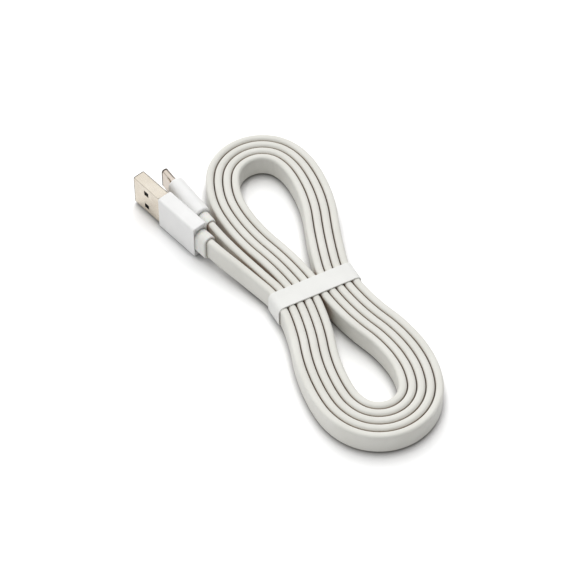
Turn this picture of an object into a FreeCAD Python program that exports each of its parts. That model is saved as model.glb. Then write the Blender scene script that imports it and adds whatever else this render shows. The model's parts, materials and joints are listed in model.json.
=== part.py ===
"""Charging cable wound on edge into a pinched hank, with a plug at each end and a band round its waist.

Frame: origin under the band at the middle of the waist, +Y along the hank towards its upper lobe,
+X across the strands, +Z up. Millimetres. Nothing reaches below z = 0.
"""

import FreeCAD, Part
import Sketcher
import math
import os

Vector = FreeCAD.Vector

DOCUMENT = FreeCAD.newDocument("ChargingCable")
SHEET = DOCUMENT.addObject("Spreadsheet::Sheet", "Sizes")

SIZES = {
    # The flat cable, lying on its narrow edge.
    "cable_width": 8.0,
    "cable_thickness": 2.35,
    "cable_edge": 1.0,
    "strand_pitch": 2.82,
    "conductor_radius": 0.4,
    "conductor_pitch": 1.6,
    # The band round the waist.
    "tie_width": 7.0,
    "tie_wall": 0.45,
    "tie_gap": 0.05,
    "tie_side_gap": 0.5,
    "tie_corner": 1.55,
    # The larger, flat plug.
    "a_shell_width": 12.0,
    "a_shell_thickness": 4.5,
    "a_shell_wall": 0.3,
    "a_shell_corner": 0.6,
    "a_shell_exposed": 12.9,
    "a_shell_buried": 6.2,
    "a_hole_length": 2.2,
    "a_hole_width": 2.1,
    "a_hole_spacing": 6.0,
    "a_hole_setback": 5.2,
    "a_tongue_thickness": 1.85,
    "a_tongue_setback": 0.6,
    "a_contact_width": 1.0,
    "a_contact_thickness": 0.3,
    "a_contact_tail": 3.0,
    "a_power_setback": 1.1,
    "a_data_setback": 2.1,
    "a_power_place": 3.5,
    "a_data_place": 1.0,
    "a_case_side_wall": 0.6,
    "a_case_face_wall": 0.5,
    "a_case_length": 17.6,
    "a_case_corner": 0.5,
    "a_case_edge": 0.25,
    "a_case_rear_wall": 1.2,
    "a_relief_side_wall": 0.7,
    "a_relief_face_wall": 0.975,
    "a_relief_length": 4.6,
    # The smaller, round-ended plug.
    "c_shell_width": 8.25,
    "c_shell_thickness": 2.4,
    "c_shell_wall": 0.2,
    "c_shell_exposed": 6.4,
    "c_shell_buried": 4.0,
    "c_slot_width": 6.7,
    "c_slot_thickness": 0.8,
    "c_slot_depth": 5.6,
    "c_insert_setback": 0.15,
    "c_contact_width": 0.25,
    "c_contact_thickness": 0.15,
    "c_contact_pitch": 0.5,
    "c_contact_setback": 1.0,
    "c_contact_tail": 1.5,
    "c_latch_width": 0.5,
    "c_latch_thickness": 0.22,
    "c_latch_hook": 0.3,
    "c_latch_hook_length": 0.8,
    "c_card_width": 6.4,
    "c_card_thickness": 0.6,
    "c_card_length": 5.2,
    "c_resistor_length": 1.0,
    "c_resistor_width": 0.5,
    "c_resistor_height": 0.35,
    "c_case_side_wall": 0.85,
    "c_case_face_wall": 0.95,
    "c_case_length": 16.5,
    "c_case_front_edge": 0.5,
    "c_case_rear_edge": 0.8,
    "c_case_end_wall": 1.2,
    "c_mould_side_wall": 0.675,
    "c_mould_face_wall": 0.8,
    "c_relief_side_wall": 0.65,
    "c_relief_face_wall": 0.825,
    "c_relief_length": 4.6,
    "cable_end_inside": 2.4,
}

for row, (alias, value) in enumerate(SIZES.items(), 1):
    SHEET.set(f"A{row}", alias)
    SHEET.set(f"B{row}", str(value))
    SHEET.setAlias(f"B{row}", alias)
DOCUMENT.recompute()

# Where the plugs lie: the middle of each case's rear face, and how far each turns to the left of +Y.
A_REAR = (-22.66, 35.28)
A_YAW = 14.0
C_REAR = (-18.1, 42.5)
C_YAW = 6.5

# The waist. Strands run straight for WAIST_HALF each side of the middle, then swing out of the
# band on an arc whose radius is PINCH_RADIUS at the innermost turn.
STRANDS = 10
WAIST_HALF = 1.5
PINCH_RADIUS = 20.0
HANK_END = 1.0

# A lobe's innermost turn: (x, y) of its left bulge, its far end and its right bulge, the ratio of
# the two halves of each of its four biarcs, and how far its left and right legs swing at the band.
UPPER_LOBE = {
    "way": 1,
    "left": (-4.4, 39.8),
    "far": (7.1, 57.6),
    "right": (15.6, 46.1),
    "ratios": (0.84, 0.77, 0.61, 1.04),
    "swing": (4.4, 8.1),
}
LOWER_LOBE = {
    "way": -1,
    "left": (-8.9, -40.4),
    "far": (-1.0, -50.1),
    "right": (7.8, -36.7),
    "ratios": (1.0, 1.74, 0.86, 1.56),
    "swing": (6.4, 2.9),
}

# The free stretches between the plugs and the hank, as points of (x, y, height above the hank's
# middle). Each plug's own exit comes before its list, and the hank's end after it.
TAIL_A_POINTS = ((-20.24, 25.58, 2.1), (-17.2, 18.2, 0.9), (-14.4, 9.9, 0.2), (-12.69, 4.3, 0.0))
TAIL_C_POINTS = (
    (-16.94, 32.32, 1.15),
    (-15.2, 24.9, 0.5),
    (-13.1, 17.0, 0.1),
    (-11.35, 10.0, 0.0),
    (-9.87, 4.4, 0.0),
)
BEND_SHARE = 0.45
LEAST_GAP_ALLOWED = 0.4
# How closely the hank's route is sampled to measure its least gap, in millimetres.
SAMPLE_STEP = 0.5


def size(alias):
    """The value of a cell."""
    return float(SHEET.get(alias))


def bind(thing, prop, formula):
    """Ties a property to the sheet. Each $name in the formula is a cell."""
    thing.setExpression(prop, formula.replace("$", "Sizes."))


def fail(message):
    raise RuntimeError(message)


# Sketches and bodies.


def new_body(label):
    body = DOCUMENT.addObject("PartDesign::Body", label)
    body.Label = label
    return body


def plane_of(body, role):
    for feature in body.Origin.OriginFeatures:
        if feature.Role == role:
            return feature
    fail(f"{body.Label} has no plane {role}")


def new_sketch(body, name, role, offset=None):
    """A sketch on one of the body's own planes, moved along its normal by an offset formula."""
    sketch = body.newObject("Sketcher::SketchObject", name)
    sketch.AttachmentSupport = [(plane_of(body, role), "")]
    sketch.MapMode = "FlatFace"
    if offset:
        bind(sketch, "AttachmentOffset.Base.z", offset)
    return sketch


def value_of(formula):
    """The number that a formula of cells stands for."""
    return float(SHEET.evalExpression(formula.replace("$", "Sizes.")))


def name_last(sketch, name, formula):
    """Names the constraint added last and ties it to the sheet."""
    index = sketch.ConstraintCount - 1
    sketch.renameConstraint(index, name)
    bind(sketch, "Constraints." + name, formula)


def slot_outline(sketch, across, along):
    """A stadium centred on the origin: across in x, along in y, where along is the longer."""
    radius = value_of(across) / 2
    reach = value_of(along) / 2 - radius
    up = Vector(0, 0, 1)
    add = sketch.addGeometry
    right = add(Part.LineSegment(Vector(radius, -reach, 0), Vector(radius, reach, 0)))
    top = add(Part.ArcOfCircle(Part.Circle(Vector(0, reach, 0), up, radius), 0, math.pi))
    left = add(Part.LineSegment(Vector(-radius, reach, 0), Vector(-radius, -reach, 0)))
    foot = add(Part.ArcOfCircle(Part.Circle(Vector(0, -reach, 0), up, radius), math.pi, 2 * math.pi))
    for first, first_end, second, second_end in (
        (right, 2, top, 1),
        (top, 2, left, 1),
        (left, 2, foot, 1),
        (foot, 2, right, 1),
    ):
        sketch.addConstraint(Sketcher.Constraint("Tangent", first, first_end, second, second_end))
    sketch.addConstraint(Sketcher.Constraint("Vertical", right))
    sketch.addConstraint(Sketcher.Constraint("Symmetric", top, 3, foot, 3, -1, 1))
    sketch.addConstraint(Sketcher.Constraint("Radius", top, radius))
    name_last(sketch, "radius", f"({across}) / 2")
    sketch.addConstraint(Sketcher.Constraint("DistanceY", foot, 3, top, 3, 2 * reach))
    name_last(sketch, "reach", f"({along}) - ({across})")


def rounded_outline(sketch, across, along, corner, middle=(0, 0)):
    """A rectangle with rounded corners: across in x, along in y, centred on middle."""
    radius = value_of(corner)
    x, y = value_of(across) / 2 - radius, value_of(along) / 2 - radius
    cx, cy = middle
    up = Vector(0, 0, 1)
    corners = ((x, -y, -90), (x, y, 0), (-x, y, 90), (-x, -y, 180))
    arcs = []
    for px, py, start in corners:
        circle = Part.Circle(Vector(cx + px, cy + py, 0), up, radius)
        first, last = math.radians(start), math.radians(start + 90)
        arcs.append(sketch.addGeometry(Part.ArcOfCircle(circle, first, last)))
    ends = (
        ((x + radius, -y), (x + radius, y)),
        ((x, y + radius), (-x, y + radius)),
        ((-x - radius, y), (-x - radius, -y)),
        ((-x, -y - radius), (x, -y - radius)),
    )
    for index, (begin, end) in enumerate(ends):
        line = Part.LineSegment(
            Vector(cx + begin[0], cy + begin[1], 0), Vector(cx + end[0], cy + end[1], 0)
        )
        side = sketch.addGeometry(line)
        after = arcs[(index + 1) % 4]
        sketch.addConstraint(Sketcher.Constraint("Tangent", arcs[index], 2, side, 1))
        sketch.addConstraint(Sketcher.Constraint("Tangent", side, 2, after, 1))
        sketch.addConstraint(Sketcher.Constraint("Vertical" if index % 2 == 0 else "Horizontal", side))
        if index:
            sketch.addConstraint(Sketcher.Constraint("Equal", arcs[0], arcs[index]))
    sketch.addConstraint(Sketcher.Constraint("Radius", arcs[0], radius))
    name_last(sketch, "corner", corner)
    sketch.addConstraint(Sketcher.Constraint("DistanceX", arcs[2], 3, arcs[1], 3, 2 * x))
    name_last(sketch, "across", f"({across}) - 2 * ({corner})")
    sketch.addConstraint(Sketcher.Constraint("DistanceY", arcs[0], 3, arcs[1], 3, 2 * y))
    name_last(sketch, "along", f"({along}) - 2 * ({corner})")
    return arcs


def centred(sketch, arcs):
    """Holds a rounded outline's middle on the origin."""
    sketch.addConstraint(Sketcher.Constraint("Symmetric", arcs[0], 3, arcs[2], 3, -1, 1))


def pad(body, sketch, length):
    feature = body.newObject("PartDesign::Pad", sketch.Name + "_pad")
    feature.Profile = sketch
    bind(feature, "Length", length)
    DOCUMENT.recompute()
    return feature


def pocket(body, sketch, length):
    """Cuts from the sketch's plane along its normal, and makes sure that it cut something."""
    before = body.Shape.Volume
    feature = body.newObject("PartDesign::Pocket", sketch.Name + "_cut")
    feature.Profile = sketch
    feature.Reversed = True
    bind(feature, "Length", length)
    DOCUMENT.recompute()
    if not body.Shape.Volume < before - 1e-6:
        fail(f"{sketch.Name} cuts nothing from {body.Label}")
    return feature


def rim_at(body, height):
    """Names of the outer edges of the body's flat end at this height."""
    rim = []
    for face in body.Shape.Faces:
        box = face.BoundBox
        if abs(box.ZMin - height) < 1e-6 and abs(box.ZMax - height) < 1e-6:
            rim += face.OuterWire.Edges
    edges = enumerate(body.Shape.Edges, 1)
    return [f"Edge{index}" for index, edge in edges if any(edge.isSame(other) for other in rim)]


def round_rim(body, name, height, radius):
    """Rounds the outer rim of one flat end of a body."""
    base, rim = body.Tip, rim_at(body, height)
    feature = body.newObject("PartDesign::Fillet", name)
    feature.Base = (base, rim)
    bind(feature, "Radius", radius)
    DOCUMENT.recompute()


def block(label, across, along, tall, corner):
    """A box with its sizes and its lowest corner as formulas, in its plug's own frame."""
    box = DOCUMENT.addObject("Part::Box", label)
    box.Label = label
    for prop, formula in zip(("Length", "Width", "Height"), (across, along, tall)):
        bind(box, prop, formula)
    place = Vector(*(value_of(formula) for formula in corner))
    box.Placement = FreeCAD.Placement(place, FreeCAD.Rotation())
    return box


def solid_feature(label, shape):
    feature = DOCUMENT.addObject("Part::Feature", label)
    feature.Label = label
    feature.Shape = shape
    return feature


# Finished pieces by name, in the order they are written.
NODES = {}


def keep(label, thing):
    NODES[label] = thing
    return thing


# What goes round another piece is as large as that piece and its own walls.
A_CASE_WIDTH = "($a_shell_width + 2 * $a_case_side_wall)"
A_CASE_THICKNESS = "($a_shell_thickness + 2 * $a_case_face_wall)"
A_RELIEF_WIDTH = "($cable_width + 2 * $a_relief_side_wall)"
A_RELIEF_THICKNESS = "($cable_thickness + 2 * $a_relief_face_wall)"
C_MOULD_WIDTH = "($c_shell_width + 2 * $c_mould_side_wall)"
C_MOULD_THICKNESS = "($c_shell_thickness + 2 * $c_mould_face_wall)"
C_CASE_WIDTH = f"({C_MOULD_WIDTH} + 2 * $c_case_side_wall)"
C_CASE_THICKNESS = f"({C_MOULD_THICKNESS} + 2 * $c_case_face_wall)"
C_RELIEF_WIDTH = "($cable_width + 2 * $c_relief_side_wall)"
C_RELIEF_THICKNESS = "($cable_thickness + 2 * $c_relief_face_wall)"

# The plugs' own frame: local z runs from the case's rear face to the tip, local y is upright and local
# x runs across the thickness. The case stands on its narrow side. A facing of 1 points local x away
# from the hank, and -1 points it at the hank.


def plug_placement(rear, yaw, width, facing):
    turn = math.radians(yaw)
    tip = Vector(-math.sin(turn), math.cos(turn), 0)
    upright = Vector(0, 0, facing)
    rotation = FreeCAD.Rotation(upright.cross(tip), upright, tip, "ZXY")
    return FreeCAD.Placement(Vector(rear[0], rear[1], width / 2), rotation)


A_PLACE = plug_placement(A_REAR, A_YAW, value_of(A_CASE_WIDTH), -1)
C_PLACE = plug_placement(C_REAR, C_YAW, value_of(C_CASE_WIDTH), 1)


def exit_of(place, relief_length):
    """The middle of the strain relief's free end, and the way that the cable leaves it."""
    point = place.multVec(Vector(0, 0, -relief_length))
    return point, place.Rotation.multVec(Vector(0, 0, -1))


def place_in_plug(label, thing, place):
    """Puts a finished piece of a plug where that plug lies."""
    thing.Placement = place.multiply(thing.Placement)
    return keep(label, thing)


def cut_by(label, base, tools):
    """The base less every tool, all in the plug's own frame. The tools stay pieces of their own."""
    DOCUMENT.recompute()
    shape = base.Shape.copy()
    for tool in tools:
        shape = shape.cut(tool.Shape)
    return solid_feature(label, shape)


# The conductors, from the lowest place in the flat cable to the highest.
WIRE_COLOURS = ("black", "green", "white", "red")

# The flat plug.

A_TIP = "($a_case_length + $a_shell_exposed)"
A_SHELL_REAR = "($a_case_length - $a_shell_buried)"
A_TONGUE_FLOOR = "(-$a_shell_thickness / 2 + $a_shell_wall)"
A_TONGUE_TOP = f"({A_TONGUE_FLOOR} + $a_tongue_thickness)"
A_TONGUE_WIDTH = "($a_shell_width - 2 * $a_shell_corner)"


def a_shell():
    """A folded steel tube with two square holes in each broad face."""
    label = "type_a_shell"
    body = new_body(label)
    outline = new_sketch(body, label + "_outline", "XY_Plane", A_SHELL_REAR)
    arcs = rounded_outline(outline, "$a_shell_thickness", "$a_shell_width", "$a_shell_corner")
    centred(outline, arcs)
    pad(body, outline, "$a_shell_exposed + $a_shell_buried")
    bore = new_sketch(body, label + "_bore", "XY_Plane", A_SHELL_REAR)
    arcs = rounded_outline(
        bore,
        "$a_shell_thickness - 2 * $a_shell_wall",
        "$a_shell_width - 2 * $a_shell_wall",
        "$a_shell_corner - $a_shell_wall",
    )
    centred(bore, arcs)
    pocket(body, bore, "$a_shell_exposed + $a_shell_buried")
    for number, side in ((1, -1), (2, 1)):
        hole = new_sketch(body, f"{label}_hole_{number}", "YZ_Plane", "-$a_shell_thickness")
        middle = (
            side * size("a_hole_spacing") / 2,
            value_of(f"{A_TIP} - $a_hole_setback - $a_hole_length / 2"),
        )
        arcs = rounded_outline(
            hole, "$a_hole_width", "$a_hole_length", "$a_shell_wall / 4", middle
        )
        outer = arcs[1 if side > 0 else 2]
        hole.addConstraint(Sketcher.Constraint("DistanceX", -1, 1, outer, 3, middle[0]))
        name_last(
            hole,
            "place_x",
            f"{side} * ($a_hole_spacing / 2 + $a_hole_width / 2 - $a_shell_wall / 4)",
        )
        hole.addConstraint(Sketcher.Constraint("DistanceY", -1, 1, arcs[1], 3, middle[1]))
        name_last(hole, "place_y", f"{A_TIP} - $a_hole_setback - $a_shell_wall / 4")
        pocket(body, hole, "2 * $a_shell_thickness")
    return body


def a_contacts():
    """Four flat blades let into the tongue, the outer two longer than the inner two."""
    made = {}
    for name, place, setback in (
        ("ground", "-$a_power_place", "$a_power_setback"),
        ("data_plus", "-$a_data_place", "$a_data_setback"),
        ("data_minus", "$a_data_place", "$a_data_setback"),
        ("power", "$a_power_place", "$a_power_setback"),
    ):
        made["type_a_contact_" + name] = block(
            "type_a_contact_" + name,
            "$a_contact_thickness",
            "$a_contact_width",
            f"{A_TIP} - {setback} - ({A_SHELL_REAR} - $a_contact_tail)",
            (
                f"{A_TONGUE_TOP} - $a_contact_thickness",
                f"{place} - $a_contact_width / 2",
                f"{A_SHELL_REAR} - $a_contact_tail",
            ),
        )
    return made


def a_tongue(contacts):
    """The plastic tongue, and the block behind it that fills the shell's rear."""
    corner = (A_TONGUE_FLOOR, f"-{A_TONGUE_WIDTH} / 2", A_SHELL_REAR)
    reach = f"{A_TIP} - $a_tongue_setback - {A_SHELL_REAR}"
    hollow = "$a_shell_thickness - 2 * $a_shell_wall"
    tongue = block("a_tongue_blade", "$a_tongue_thickness", A_TONGUE_WIDTH, reach, corner)
    rear = block("a_tongue_block", hollow, A_TONGUE_WIDTH, "$a_shell_buried", corner)
    DOCUMENT.recompute()
    joined = solid_feature("a_tongue_joined", tongue.Shape.fuse(rear.Shape).removeSplitter())
    return cut_by("type_a_tongue", joined, contacts.values())


def wires(prefix, targets, end_piece, case_wall):
    """A wire from the cable's end to each place it is soldered to, level with that place."""
    start = value_of(f"$cable_end_inside + {case_wall} - $conductor_radius")
    middle = (len(WIRE_COLOURS) - 1) / 2
    made = {}
    for index, (name, (x, y, z)) in enumerate(zip(WIRE_COLOURS, targets)):
        begin = Vector(x, (index - middle) * size("conductor_pitch"), start)
        end = Vector(x, y, z)
        label = f"{prefix}_wire_{name}"
        wire = DOCUMENT.addObject("Part::Cylinder", "whole_" + label)
        bind(wire, "Radius", "$conductor_radius")
        wire.Height = begin.distanceToPoint(end)
        wire.Placement = FreeCAD.Placement(begin, FreeCAD.Rotation(Vector(0, 0, 1), end - begin))
        made[label] = cut_by(label, wire, [end_piece])
    return made


def cable_end(label, relief_length, case_wall):
    """The last stretch of cable, held inside the strain relief and the mould."""
    body = new_body(label)
    outline = new_sketch(body, label + "_outline", "XY_Plane", f"-{relief_length}")
    arcs = rounded_outline(outline, "$cable_thickness", "$cable_width", "$cable_edge")
    centred(outline, arcs)
    pad(body, outline, f"{relief_length} + {case_wall} + $cable_end_inside")
    return body


def strain_relief(label, width, thickness, length, case_wall):
    """A soft sleeve round the cable, through the case's rear wall."""
    body = new_body(label)
    outline = new_sketch(body, label + "_outline", "XY_Plane", f"-{length}")
    slot_outline(outline, thickness, width)
    pad(body, outline, f"{length} + {case_wall}")
    bore = new_sketch(body, label + "_bore", "XY_Plane", f"-{length}")
    arcs = rounded_outline(bore, "$cable_thickness", "$cable_width", "$cable_edge")
    centred(bore, arcs)
    pocket(body, bore, f"{length} + {case_wall}")
    return body


def a_case():
    """A crisp-edged sleeve, open in front round the shell, with a slot in its rear wall."""
    label = "type_a_case"
    body = new_body(label)
    outline = new_sketch(body, label + "_outline", "XY_Plane")
    arcs = rounded_outline(outline, A_CASE_THICKNESS, A_CASE_WIDTH, "$a_case_corner")
    centred(outline, arcs)
    pad(body, outline, "$a_case_length")
    hollow = new_sketch(body, label + "_hollow", "XY_Plane", "$a_case_rear_wall")
    arcs = rounded_outline(hollow, "$a_shell_thickness", "$a_shell_width", "$a_shell_corner")
    centred(hollow, arcs)
    pocket(body, hollow, "$a_case_length - $a_case_rear_wall")
    slot = new_sketch(body, label + "_slot", "XY_Plane")
    slot_outline(slot, A_RELIEF_THICKNESS, A_RELIEF_WIDTH)
    pocket(body, slot, "$a_case_rear_wall")
    round_rim(body, label + "_front", size("a_case_length"), "$a_case_edge")
    round_rim(body, label + "_rear", 0, "$a_case_edge")
    return body


def a_mould_blank():
    """The mould between the case's rear wall and the shell, before what runs through it is cut out."""
    body = new_body("a_mould_blank")
    outline = new_sketch(body, "a_mould_outline", "XY_Plane", "$a_case_rear_wall")
    arcs = rounded_outline(outline, "$a_shell_thickness", "$a_shell_width", "$a_shell_corner")
    centred(outline, arcs)
    pad(body, outline, f"{A_SHELL_REAR} - $a_case_rear_wall")
    return body


def make_plug_a():
    shell = a_shell()
    contacts = a_contacts()
    tongue = a_tongue(contacts)
    end = cable_end("type_a_cable_end", "$a_relief_length", "$a_case_rear_wall")
    relief = strain_relief(
        "type_a_strain_relief", A_RELIEF_WIDTH, A_RELIEF_THICKNESS, "$a_relief_length", "$a_case_rear_wall"
    )
    case = a_case()
    solder_x = value_of(A_TONGUE_TOP) + size("conductor_radius")
    solder_z = value_of(f"{A_SHELL_REAR} - $a_contact_tail / 3")
    power, data = size("a_power_place"), size("a_data_place")
    targets = [(solder_x, place, solder_z) for place in (-power, -data, data, power)]
    ends = wires("type_a", targets, end, "$a_case_rear_wall")
    mould = cut_by("type_a_inner_mould", a_mould_blank(), [end, *contacts.values(), *ends.values()])
    pieces = {
        "type_a_shell": shell,
        "type_a_tongue": tongue,
        **contacts,
        "type_a_cable_end": end,
        **ends,
        "type_a_inner_mould": mould,
        "type_a_case": case,
        "type_a_strain_relief": relief,
    }
    for label, thing in pieces.items():
        place_in_plug(label, thing, A_PLACE)


# The round-ended plug.

C_TIP = "($c_case_length + $c_shell_exposed)"
C_SHELL_REAR = "($c_case_length - $c_shell_buried)"
C_INSERT_FRONT = f"({C_TIP} - $c_insert_setback)"
C_CARD_REAR = f"({C_SHELL_REAR} - $c_card_length)"
# The most of a narrow wall that a rounded edge takes up.
FLAT_SHARE = 0.85
# Which of the places in each row hold a contact in a cable of this kind.
C_PLACES = 12
C_FRONT_ROW = (1, 4, 5, 6, 7, 9, 12)
C_BACK_ROW = (1, 4, 5, 9, 12)


def c_shell():
    label = "type_c_shell"
    body = new_body(label)
    outline = new_sketch(body, label + "_outline", "XY_Plane", C_SHELL_REAR)
    slot_outline(outline, "$c_shell_thickness", "$c_shell_width")
    pad(body, outline, "$c_shell_exposed + $c_shell_buried")
    bore = new_sketch(body, label + "_bore", "XY_Plane", C_SHELL_REAR)
    slot_outline(
        bore, "$c_shell_thickness - 2 * $c_shell_wall", "$c_shell_width - 2 * $c_shell_wall"
    )
    pocket(body, bore, "$c_shell_exposed + $c_shell_buried")
    return body


def c_contact_row(label, row, side):
    """One row of thin strips in the slot's wall, on the +x or -x side of it, as separate solids."""
    wall = size("c_slot_thickness") / 2
    thick = size("c_contact_thickness")
    low = wall if side > 0 else -wall - thick
    rear = value_of(f"{C_SHELL_REAR} - $c_contact_tail")
    front = value_of(f"{C_INSERT_FRONT} - $c_contact_setback")
    wide, pitch = size("c_contact_width"), size("c_contact_pitch")
    middle = (C_PLACES + 1) / 2
    strips = []
    for place in row:
        y = (place - middle) * pitch * side - wide / 2
        strips.append(Part.makeBox(thick, wide, front - rear, Vector(low, y, rear)))
    return solid_feature(label, Part.makeCompound(strips))


def c_latch(label, side):
    """A flat spring arm beside the slot, with a hook that snaps into the socket."""
    edge = value_of("$c_slot_width / 2")
    thick, wide = size("c_latch_thickness"), size("c_latch_width")
    rear, front = value_of(C_SHELL_REAR), value_of(f"{C_INSERT_FRONT} - $c_contact_setback")
    low = edge if side > 0 else -edge - thick
    arm = Part.makeBox(wide, thick, front - rear, Vector(-wide / 2, low, rear))
    hook, hook_length = size("c_latch_hook"), size("c_latch_hook_length")
    low = edge - hook if side > 0 else -edge
    nose = Part.makeBox(wide, hook, hook_length, Vector(-wide / 2, low, front - hook_length))
    return solid_feature(label, arm.fuse(nose).removeSplitter())


def c_insert(cutters):
    """The plastic insert: it fills the shell, with the slot that takes the socket's tongue."""
    body = new_body("c_insert_blank")
    outline = new_sketch(body, "c_insert_outline", "XY_Plane", C_SHELL_REAR)
    slot_outline(
        outline, "$c_shell_thickness - 2 * $c_shell_wall", "$c_shell_width - 2 * $c_shell_wall"
    )
    pad(body, outline, f"{C_INSERT_FRONT} - {C_SHELL_REAR}")
    mouth = new_sketch(body, "c_insert_mouth", "XY_Plane", f"{C_INSERT_FRONT} - $c_slot_depth")
    arcs = rounded_outline(mouth, "$c_slot_thickness", "$c_slot_width", "$c_contact_thickness")
    centred(mouth, arcs)
    pocket(body, mouth, "$c_slot_depth")
    return cut_by("type_c_insert", body, cutters)


def c_card():
    return block(
        "type_c_circuit_card",
        "$c_card_thickness",
        "$c_card_width",
        "$c_card_length",
        ("-$c_card_thickness / 2", "-$c_card_width / 2", C_CARD_REAR),
    )


def c_resistor():
    return block(
        "type_c_resistor",
        "$c_resistor_height",
        "$c_resistor_length",
        "$c_resistor_width",
        (
            "-$c_card_thickness / 2 - $c_resistor_height",
            "-$c_resistor_length / 2",
            f"{C_CARD_REAR} + $c_card_length / 2",
        ),
    )


def c_case():
    """A pill-shaped sleeve with a softer rear edge, open in front round the shell."""
    label = "type_c_case"
    body = new_body(label)
    outline = new_sketch(body, label + "_outline", "XY_Plane")
    slot_outline(outline, C_CASE_THICKNESS, C_CASE_WIDTH)
    pad(body, outline, "$c_case_length")
    hollow = new_sketch(body, label + "_hollow", "XY_Plane", "$c_case_end_wall")
    slot_outline(hollow, C_MOULD_THICKNESS, C_MOULD_WIDTH)
    pocket(body, hollow, "$c_case_length - 2 * $c_case_end_wall")
    front = new_sketch(body, label + "_mouth", "XY_Plane", "$c_case_length - $c_case_end_wall")
    slot_outline(front, "$c_shell_thickness", "$c_shell_width")
    pocket(body, front, "$c_case_end_wall")
    rear = new_sketch(body, label + "_slot", "XY_Plane")
    slot_outline(rear, C_RELIEF_THICKNESS, C_RELIEF_WIDTH)
    pocket(body, rear, "$c_case_end_wall")
    round_rim(body, label + "_front", size("c_case_length"), "$c_case_front_edge")
    # The rear edge leaves part of the wall beside the slot flat, however narrow that wall is.
    beside = f"({C_CASE_WIDTH} - {C_RELIEF_WIDTH}) / 2"
    round_rim(body, label + "_rear", 0, f"min($c_case_rear_edge; {FLAT_SHARE} * {beside})")
    return body


def c_mould_blank():
    body = new_body("c_mould_blank")
    outline = new_sketch(body, "c_mould_outline", "XY_Plane", "$c_case_end_wall")
    slot_outline(outline, C_MOULD_THICKNESS, C_MOULD_WIDTH)
    pad(body, outline, "$c_case_length - 2 * $c_case_end_wall")
    return body


def make_plug_c():
    shell = c_shell()
    rows = {
        "type_c_contacts_front": c_contact_row("type_c_contacts_front", C_FRONT_ROW, 1),
        "type_c_contacts_back": c_contact_row("type_c_contacts_back", C_BACK_ROW, -1),
    }
    latches = {
        "type_c_latch_upper": c_latch("type_c_latch_upper", 1),
        "type_c_latch_lower": c_latch("type_c_latch_lower", -1),
    }
    insert = c_insert([*rows.values(), *latches.values()])
    card = c_card()
    resistor = c_resistor()
    end = cable_end("type_c_cable_end", "$c_relief_length", "$c_case_end_wall")
    relief = strain_relief(
        "type_c_strain_relief", C_RELIEF_WIDTH, C_RELIEF_THICKNESS, "$c_relief_length", "$c_case_end_wall"
    )
    case = c_case()
    solder_x = size("c_card_thickness") / 2 + size("conductor_radius")
    solder_z = value_of(f"{C_CARD_REAR} + $c_card_length / 4")
    pitch, middle = size("conductor_pitch"), (len(WIRE_COLOURS) - 1) / 2
    targets = [(solder_x, (index - middle) * pitch, solder_z) for index in range(len(WIRE_COLOURS))]
    ends = wires("type_c", targets, end, "$c_case_end_wall")
    blank = c_mould_blank()
    DOCUMENT.recompute()
    # What the shell holds is inside its outline, so that whole space comes out of the mould.
    hold = new_body("c_shell_hold")
    outline = new_sketch(hold, "c_shell_hold_outline", "XY_Plane", C_SHELL_REAR)
    slot_outline(outline, "$c_shell_thickness", "$c_shell_width")
    pad(hold, outline, "$c_shell_buried")
    tools = [end, hold, card, resistor, *rows.values(), *ends.values()]
    mould = cut_by("type_c_inner_mould", blank, tools)
    pieces = {
        "type_c_shell": shell,
        "type_c_insert": insert,
        **rows,
        **latches,
        "type_c_circuit_card": card,
        "type_c_resistor": resistor,
        "type_c_cable_end": end,
        **ends,
        "type_c_inner_mould": mould,
        "type_c_case": case,
        "type_c_strain_relief": relief,
    }
    for label, thing in pieces.items():
        place_in_plug(label, thing, C_PLACE)


# The hank.


class Arc:
    """A stretch of a flat route: a straight line or an arc, from a point along a direction to a point."""

    def __init__(self, start, heading, end):
        chord = end - start
        left = Vector(-heading.y, heading.x, 0)
        self.start, self.end, self.heading = start, end, heading
        half = math.atan2(chord.dot(left), chord.dot(heading))
        self.turn = 2 * half
        self.radius = 0.0 if abs(half) < 1e-9 else chord.Length / (2 * math.sin(half))
        self.centre = start + left * self.radius

    def at(self, share):
        """The point and the leftward normal at a share of the way."""
        left = Vector(-self.heading.y, self.heading.x, 0)
        if not self.radius:
            return self.start + (self.end - self.start) * share, left
        spin = FreeCAD.Rotation(Vector(0, 0, 1), math.degrees(self.turn * share))
        return self.centre + spin.multVec(self.start - self.centre), spin.multVec(left)

    def edge(self, offset):
        """The edge beside this stretch, offset to the left, with the sense of travel."""
        points = []
        for share in (0, 0.5, 1):
            point, left = self.at(share)
            points.append(point + left * offset)
        if not self.radius:
            return Part.makeLine(points[0], points[2])
        return Part.Arc(*points).toShape()


def biarc(start, heading, end, last_heading, ratio):
    """Two arcs that leave start along heading and reach end along last_heading."""
    chord = end - start
    blend = heading + last_heading * ratio
    first = ratio * (1 - heading.dot(last_heading))
    second = chord.dot(blend)
    if first < 1e-9:
        reach = chord.dot(chord) / (2 * second)
    else:
        reach = (math.sqrt(second**2 + 2 * first * chord.dot(chord)) - second) / (2 * first)
    near = start + heading * reach
    far = end - last_heading * (reach * ratio)
    joint = near + (far - near) * (1 / (1 + ratio))
    between = (far - near).normalize()
    return [Arc(start, heading, joint), Arc(joint, between, end)]


def strand_x(number):
    """Where a strand, counted from 1 at the left, crosses the waist."""
    return (number - (STRANDS + 1) / 2) * size("strand_pitch")


def innermost(way):
    """The number of a lobe's innermost strand on the left."""
    return STRANDS // 2 if way < 0 else STRANDS // 2 + 1


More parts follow.
